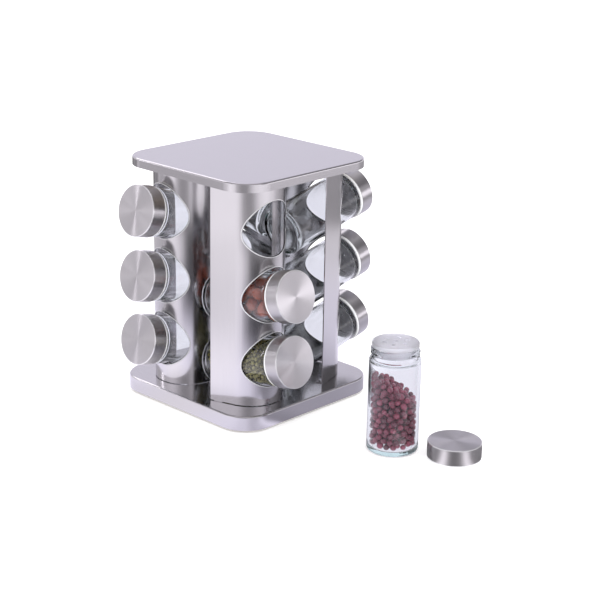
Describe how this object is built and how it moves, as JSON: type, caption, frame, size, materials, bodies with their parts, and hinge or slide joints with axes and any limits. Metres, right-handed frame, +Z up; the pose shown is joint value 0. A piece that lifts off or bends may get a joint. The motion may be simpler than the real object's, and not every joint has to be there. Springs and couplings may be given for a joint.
{
  "type": "spice carousel",
  "caption": "Square revolving spice rack: upright sheet-steel panels with round slots hold tilted screw-cap glass jars; one jar stands beside it with its cap off.",
  "frame": {"origin": "centre of the turntable foot's underside, on the table", "axes": "+Z up along the turning axis; +X and +Y square to the plates' sides; the front column's caps face +X, and the loose jar stands on the +X side"},
  "size_m": [0.3838, 0.2206, 0.235],
  "materials": {
    "sheet_steel": "brushed satin stainless sheet",
    "cap_steel": "circular-brushed stainless cap",
    "glass": "clear soda-lime glass, faint green at thick edges",
    "sifter_plastic": "translucent natural polyethylene",
    "liner_plastic": "white moulded plastic",
    "foot_plastic": "dark moulded plastic",
    "rubber": "non-slip rubber",
    "ball_steel": "polished bearing steel",
    "board": "bare fibreboard",
    "screw_steel": "plated steel"
  },
  "bodies": {
    "foot": {"turntable_foot": "foot_plastic", "rubber_mat": "rubber"},
    "balls": {"bearing_balls": "ball_steel"},
    "carousel": {"base_board": "board", "base_cover": "sheet_steel", "panel_front": "sheet_steel", "panel_right": "sheet_steel", "panel_back": "sheet_steel", "panel_left": "sheet_steel", "top_board": "board", "top_cover": "sheet_steel", "fasteners": "screw_steel"},
    "jar_front_low": {"glass_front_low": "glass", "sifter_front_low": "sifter_plastic"},
    "liner_front_low": {"liner_front_low": "liner_plastic"},
    "cap_front_low": {"cap_front_low": "cap_steel"},
    "jar_front_mid": {"glass_front_mid": "glass", "sifter_front_mid": "sifter_plastic"},
    "liner_front_mid": {"liner_front_mid": "liner_plastic"},
    "cap_front_mid": {"cap_front_mid": "cap_steel"},
    "jar_right_low": {"glass_right_low": "glass", "sifter_right_low": "sifter_plastic"},
    "liner_right_low": {"liner_right_low": "liner_plastic"},
    "cap_right_low": {"cap_right_low": "cap_steel"},
    "jar_right_mid": {"glass_right_mid": "glass", "sifter_right_mid": "sifter_plastic"},
    "liner_right_mid": {"liner_right_mid": "liner_plastic"},
    "cap_right_mid": {"cap_right_mid": "cap_steel"},
    "jar_right_top": {"glass_right_top": "glass", "sifter_right_top": "sifter_plastic"},
    "liner_right_top": {"liner_right_top": "liner_plastic"},
    "cap_right_top": {"cap_right_top": "cap_steel"},
    "jar_back_low": {"glass_back_low": "glass", "sifter_back_low": "sifter_plastic"},
    "liner_back_low": {"liner_back_low": "liner_plastic"},
    "cap_back_low": {"cap_back_low": "cap_steel"},
    "jar_back_mid": {"glass_back_mid": "glass", "sifter_back_mid": "sifter_plastic"},
    "liner_back_mid": {"liner_back_mid": "liner_plastic"},
    "cap_back_mid": {"cap_back_mid": "cap_steel"},
    "jar_back_top": {"glass_back_top": "glass", "sifter_back_top": "sifter_plastic"},
    "liner_back_top": {"liner_back_top": "liner_plastic"},
    "cap_back_top": {"cap_back_top": "cap_steel"},
    "jar_left_low": {"glass_left_low": "glass", "sifter_left_low": "sifter_plastic"},
    "liner_left_low": {"liner_left_low": "liner_plastic"},
    "cap_left_low": {"cap_left_low": "cap_steel"},
    "jar_left_mid": {"glass_left_mid": "glass", "sifter_left_mid": "sifter_plastic"},
    "liner_left_mid": {"liner_left_mid": "liner_plastic"},
    "cap_left_mid": {"cap_left_mid": "cap_steel"},
    "jar_left_top": {"glass_left_top": "glass", "sifter_left_top": "sifter_plastic"},
    "liner_left_top": {"liner_left_top": "liner_plastic"},
    "cap_left_top": {"cap_left_top": "cap_steel"},
    "jar_loose": {"glass_loose": "glass"},
    "sifter_loose": {"sifter_loose": "sifter_plastic"},
    "cap_loose": {"cap_loose": "cap_steel", "liner_loose": "liner_plastic"}
  },
  "joints": [
    {"name": "carousel_spin", "type": "hinge", "parent": "foot", "child": "carousel", "pos_m": [0, 0, 0], "axis": [0, 0, 1], "continuous": true},
    {"name": "balls_roll", "type": "hinge", "parent": "foot", "child": "balls", "pos_m": [0, 0, 0], "axis": [0, 0, 1], "continuous": true},
    {"name": "pull_front_low", "type": "slide", "parent": "carousel", "child": "jar_front_low", "axis": [0.9724, 0, 0.2334], "range_m": [0, 0.056]},
    {"name": "lift_front_low", "type": "slide", "parent": "jar_front_low", "child": "liner_front_low", "axis": [0.9724, 0, 0.2334], "range_m": [0, 0.0037]},
    {"name": "unscrew_front_low", "type": "hinge", "parent": "liner_front_low", "child": "cap_front_low", "pos_m": [0.0976, -0.041, 0.06427], "axis": [0.9724, 0, 0.2334], "range_deg": [0, 360]},
    {"name": "pull_front_mid", "type": "slide", "parent": "carousel", "child": "jar_front_mid", "axis": [0.9724, 0, 0.2334], "range_m": [0, 0.056]},
    {"name": "lift_front_mid", "type": "slide", "parent": "jar_front_mid", "child": "liner_front_mid", "axis": [0.9724, 0, 0.2334], "range_m": [0, 0.0037]},
    {"name": "unscrew_front_mid", "type": "hinge", "parent": "liner_front_mid", "child": "cap_front_mid", "pos_m": [0.0976, -0.041, 0.12737], "axis": [0.9724, 0, 0.2334], "range_deg": [0, 360]},
    {"name": "pull_right_low", "type": "slide", "parent": "carousel", "child": "jar_right_low", "axis": [0, 0.9724, 0.2334], "range_m": [0, 0.056]},
    {"name": "lift_right_low", "type": "slide", "parent": "jar_right_low", "child": "liner_right_low", "axis": [0, 0.9724, 0.2334], "range_m": [0, 0.0037]},
    {"name": "unscrew_right_low", "type": "hinge", "parent": "liner_right_low", "child": "cap_right_low", "pos_m": [0.041, 0.0976, 0.06427], "axis": [0, 0.9724, 0.2334], "range_deg": [0, 360]},
    {"name": "pull_right_mid", "type": "slide", "parent": "carousel", "child": "jar_right_mid", "axis": [0, 0.9724, 0.2334], "range_m": [0, 0.056]},
    {"name": "lift_right_mid", "type": "slide", "parent": "jar_right_mid", "child": "liner_right_mid", "axis": [0, 0.9724, 0.2334], "range_m": [0, 0.0037]},
    {"name": "unscrew_right_mid", "type": "hinge", "parent": "liner_right_mid", "child": "cap_right_mid", "pos_m": [0.041, 0.0976, 0.12737], "axis": [0, 0.9724, 0.2334], "range_deg": [0, 360]},
    {"name": "pull_right_top", "type": "slide", "parent": "carousel", "child": "jar_right_top", "axis": [0, 0.9724, 0.2334], "range_m": [0, 0.056]},
    {"name": "lift_right_top", "type": "slide", "parent": "jar_right_top", "child": "liner_right_top", "axis": [0, 0.9724, 0.2334], "range_m": [0, 0.0037]},
    {"name": "unscrew_right_top", "type": "hinge", "parent": "liner_right_top", "child": "cap_right_top", "pos_m": [0.041, 0.0976, 0.19047], "axis": [0, 0.9724, 0.2334], "range_deg": [0, 360]},
    {"name": "pull_back_low", "type": "slide", "parent": "carousel", "child": "jar_back_low", "axis": [-0.9724, 0, 0.2334], "range_m": [0, 0.056]},
    {"name": "lift_back_low", "type": "slide", "parent": "jar_back_low", "child": "liner_back_low", "axis": [-0.9724, 0, 0.2334], "range_m": [0, 0.0037]},
    {"name": "unscrew_back_low", "type": "hinge", "parent": "liner_back_low", "child": "cap_back_low", "pos_m": [-0.0976, 0.041, 0.06427], "axis": [-0.9724, 0, 0.2334], "range_deg": [0, 360]},
    {"name": "pull_back_mid", "type": "slide", "parent": "carousel", "child": "jar_back_mid", "axis": [-0.9724, 0, 0.2334], "range_m": [0, 0.056]},
    {"name": "lift_back_mid", "type": "slide", "parent": "jar_back_mid", "child": "liner_back_mid", "axis": [-0.9724, 0, 0.2334], "range_m": [0, 0.0037]},
    {"name": "unscrew_back_mid", "type": "hinge", "parent": "liner_back_mid", "child": "cap_back_mid", "pos_m": [-0.0976, 0.041, 0.12737], "axis": [-0.9724, 0, 0.2334], "range_deg": [0, 360]},
    {"name": "pull_back_top", "type": "slide", "parent": "carousel", "child": "jar_back_top", "axis": [-0.9724, 0, 0.2334], "range_m": [0, 0.056]},
    {"name": "lift_back_top", "type": "slide", "parent": "jar_back_top", "child": "liner_back_top", "axis": [-0.9724, 0, 0.2334], "range_m": [0, 0.0037]},
    {"name": "unscrew_back_top", "type": "hinge", "parent": "liner_back_top", "child": "cap_back_top", "pos_m": [-0.0976, 0.041, 0.19047], "axis": [-0.9724, 0, 0.2334], "range_deg": [0, 360]},
    {"name": "pull_left_low", "type": "slide", "parent": "carousel", "child": "jar_left_low", "axis": [0, -0.9724, 0.2334], "range_m": [0, 0.056]},
    {"name": "lift_left_low", "type": "slide", "parent": "jar_left_low", "child": "liner_left_low", "axis": [0, -0.9724, 0.2334], "range_m": [0, 0.0037]},
    {"name": "unscrew_left_low", "type": "hinge", "parent": "liner_left_low", "child": "cap_left_low", "pos_m": [-0.041, -0.0976, 0.06427], "axis": [0, -0.9724, 0.2334], "range_deg": [0, 360]},
    {"name": "pull_left_mid", "type": "slide", "parent": "carousel", "child": "jar_left_mid", "axis": [0, -0.9724, 0.2334], "range_m": [0, 0.056]},
    {"name": "lift_left_mid", "type": "slide", "parent": "jar_left_mid", "child": "liner_left_mid", "axis": [0, -0.9724, 0.2334], "range_m": [0, 0.0037]},
    {"name": "unscrew_left_mid", "type": "hinge", "parent": "liner_left_mid", "child": "cap_left_mid", "pos_m": [-0.041, -0.0976, 0.12737], "axis": [0, -0.9724, 0.2334], "range_deg": [0, 360]},
    {"name": "pull_left_top", "type": "slide", "parent": "carousel", "child": "jar_left_top", "axis": [0, -0.9724, 0.2334], "range_m": [0, 0.056]},
    {"name": "lift_left_top", "type": "slide", "parent": "jar_left_top", "child": "liner_left_top", "axis": [0, -0.9724, 0.2334], "range_m": [0, 0.0037]},
    {"name": "unscrew_left_top", "type": "hinge", "parent": "liner_left_top", "child": "cap_left_top", "pos_m": [-0.041, -0.0976, 0.19047], "axis": [0, -0.9724, 0.2334], "range_deg": [0, 360]},
    {"name": "lift_jar_loose", "type": "slide", "parent": "foot", "child": "jar_loose", "axis": [0, 0, 1], "range_m": [0, 0.08]},
    {"name": "lift_sifter_loose", "type": "slide", "parent": "jar_loose", "child": "sifter_loose", "axis": [0, 0, 1], "range_m": [0, 0.03]},
    {"name": "lift_cap_loose", "type": "slide", "parent": "foot", "child": "cap_loose", "axis": [0, 0, 1], "range_m": [0, 0.06]}
  ],
  "couplings": [
    {"joint": "balls_roll", "follows": "carousel_spin", "ratio": 0.5},
    {"joint": "lift_front_low", "follows": "unscrew_front_low", "m_per_rad": 0.00057296},
    {"joint": "lift_front_mid", "follows": "unscrew_front_mid", "m_per_rad": 0.00057296},
    {"joint": "lift_right_low", "follows": "unscrew_right_low", "m_per_rad": 0.00057296},
    {"joint": "lift_right_mid", "follows": "unscrew_right_mid", "m_per_rad": 0.00057296},
    {"joint": "lift_right_top", "follows": "unscrew_right_top", "m_per_rad": 0.00057296},
    {"joint": "lift_back_low", "follows": "unscrew_back_low", "m_per_rad": 0.00057296},
    {"joint": "lift_back_mid", "follows": "unscrew_back_mid", "m_per_rad": 0.00057296},
    {"joint": "lift_back_top", "follows": "unscrew_back_top", "m_per_rad": 0.00057296},
    {"joint": "lift_left_low", "follows": "unscrew_left_low", "m_per_rad": 0.00057296},
    {"joint": "lift_left_mid", "follows": "unscrew_left_mid", "m_per_rad": 0.00057296},
    {"joint": "lift_left_top", "follows": "unscrew_left_top", "m_per_rad": 0.00057296}
  ]
}
